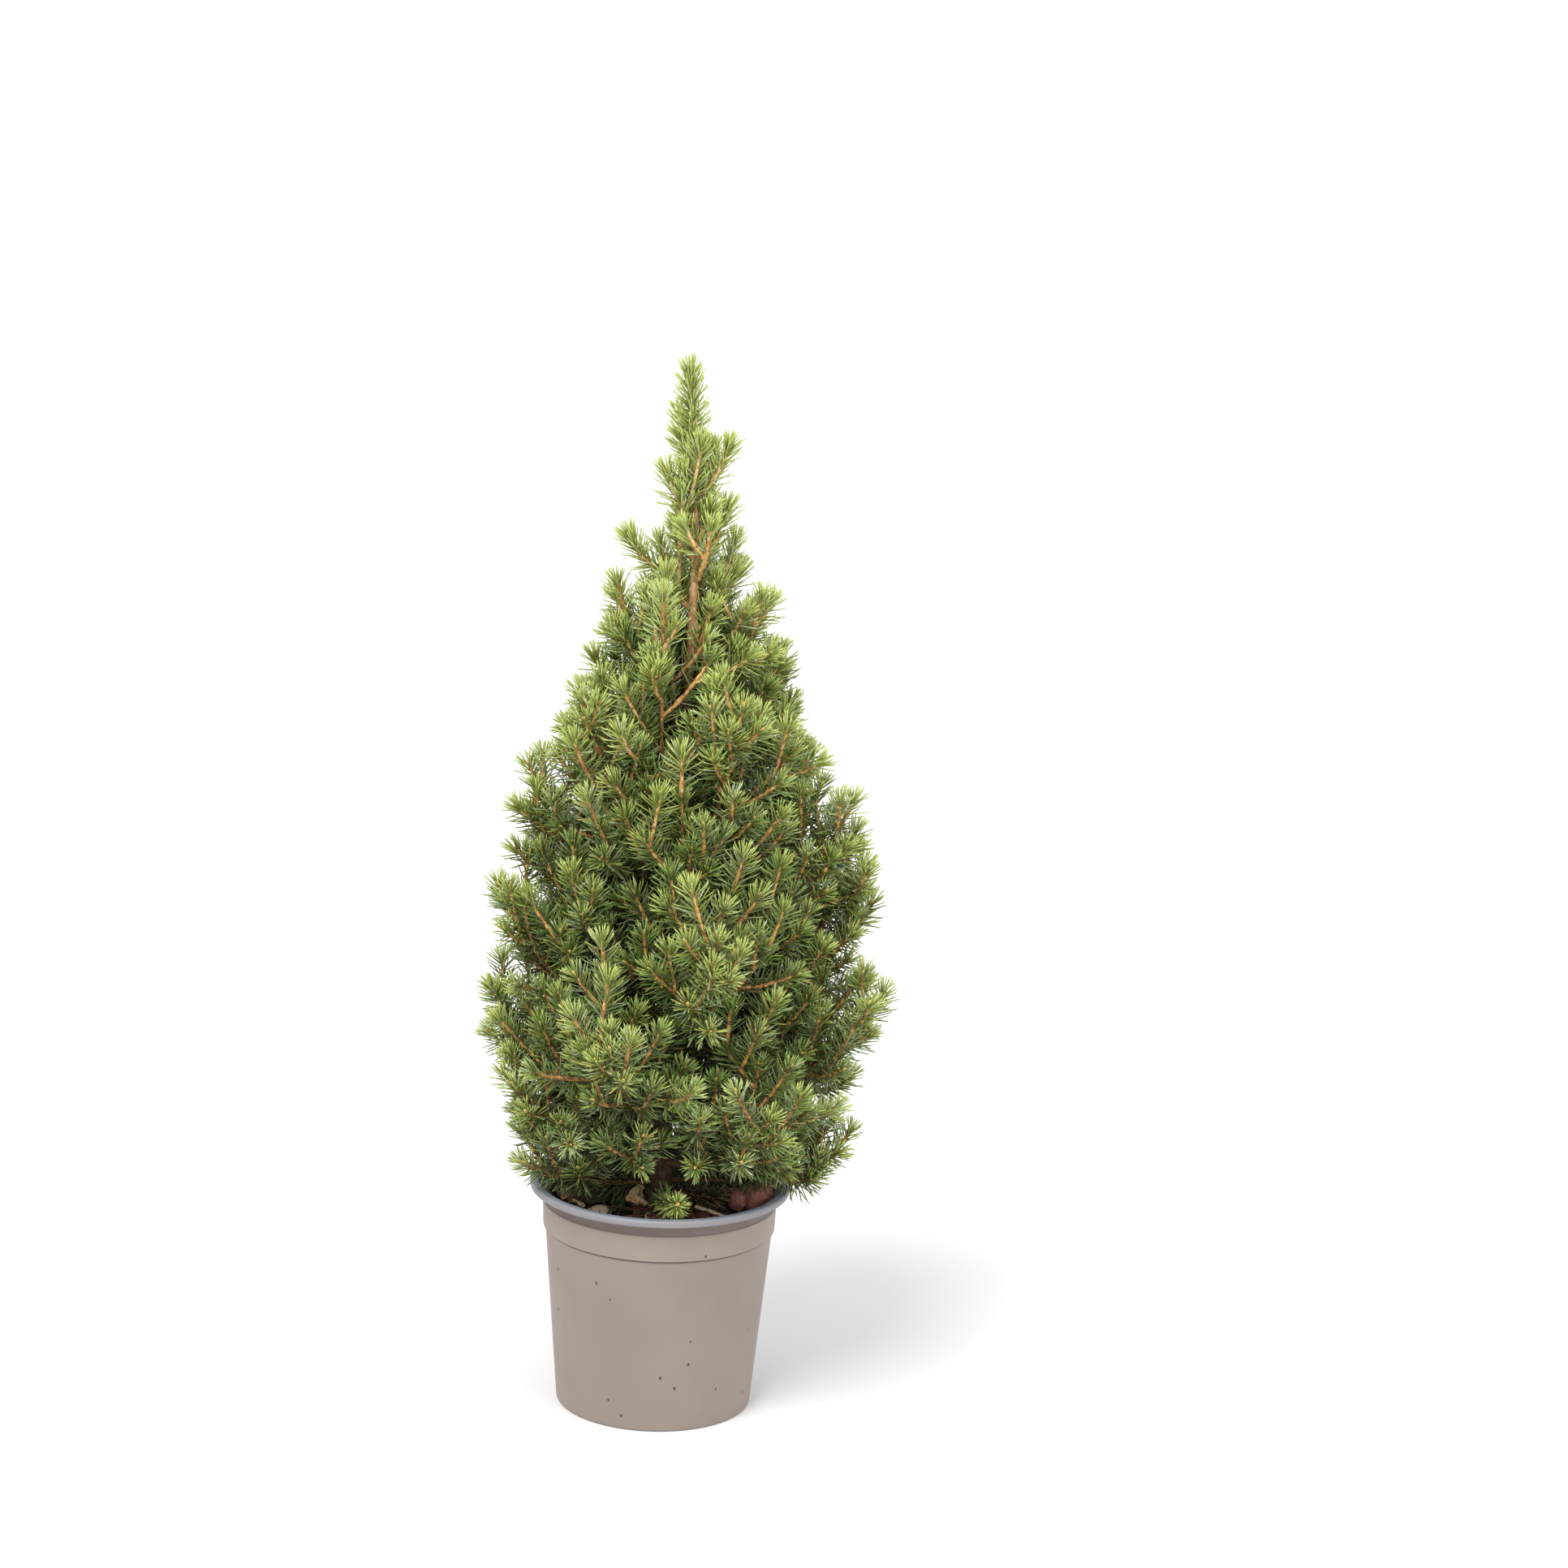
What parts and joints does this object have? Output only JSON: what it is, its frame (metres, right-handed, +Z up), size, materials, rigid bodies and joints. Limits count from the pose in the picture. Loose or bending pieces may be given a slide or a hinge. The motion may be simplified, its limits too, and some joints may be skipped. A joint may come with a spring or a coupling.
{
  "type": "potted white spruce",
  "caption": "Young narrow conical white spruce with dense needled shoots in a round tapered nursery pot with a flanged rim.",
  "frame": {"origin": "centre of the pot's flat underside", "axes": "+Z up along the trunk; the side that the picture shows faces -Y, with +X to its right"},
  "size_m": [0.2055, 0.2055, 0.5285],
  "materials": {
    "pot": "taupe satin polypropylene with a greyer lip",
    "soil": "dark damp peat with bark crumbs",
    "bark": "rough scaly grey-brown bark",
    "twig": "orange-tan young bark",
    "foliage": "fresh green needles, lighter at the shoot tips"
  },
  "bodies": {
    "root": {"pot": "pot", "soil": "soil", "trunk": "bark", "bough_low_1": "twig", "bough_low_2": "twig", "bough_low_3": "twig", "bough_low_4": "twig", "bough_belly_1": "twig", "bough_belly_2": "twig", "bough_belly_3": "twig", "bough_belly_4": "twig", "bough_waist_1": "twig", "bough_waist_2": "twig", "bough_waist_3": "twig", "bough_waist_4": "twig", "bough_breast_1": "twig", "bough_breast_2": "twig", "bough_breast_3": "twig", "bough_breast_4": "twig", "bough_shoulder_1": "twig", "bough_shoulder_2": "twig", "bough_shoulder_3": "twig", "bough_shoulder_4": "twig", "foliage_skirt_1": "foliage", "foliage_skirt_2": "foliage", "foliage_skirt_3": "foliage", "foliage_skirt_4": "foliage", "foliage_skirt_5": "foliage", "foliage_low_1": "foliage", "foliage_low_2": "foliage", "foliage_low_3": "foliage", "foliage_low_4": "foliage", "foliage_belly_1": "foliage", "foliage_belly_2": "foliage", "foliage_belly_3": "foliage", "foliage_belly_4": "foliage", "foliage_waist_1": "foliage", "foliage_waist_2": "foliage", "foliage_waist_3": "foliage", "foliage_waist_4": "foliage", "foliage_breast_1": "foliage", "foliage_breast_2": "foliage", "foliage_breast_3": "foliage", "foliage_breast_4": "foliage", "foliage_shoulder_1": "foliage", "foliage_shoulder_2": "foliage", "foliage_shoulder_3": "foliage", "foliage_shoulder_4": "foliage", "foliage_neck_1": "foliage", "foliage_neck_2": "foliage", "foliage_neck_3": "foliage", "foliage_neck_4": "foliage", "foliage_leader_1": "foliage", "foliage_leader_2": "foliage", "foliage_leader_3": "foliage", "foliage_leader_4": "foliage", "foliage_leader_5": "foliage", "foliage_leader_6": "foliage", "foliage_leader_7": "foliage", "foliage_top": "foliage"}
  },
  "joints": []
}
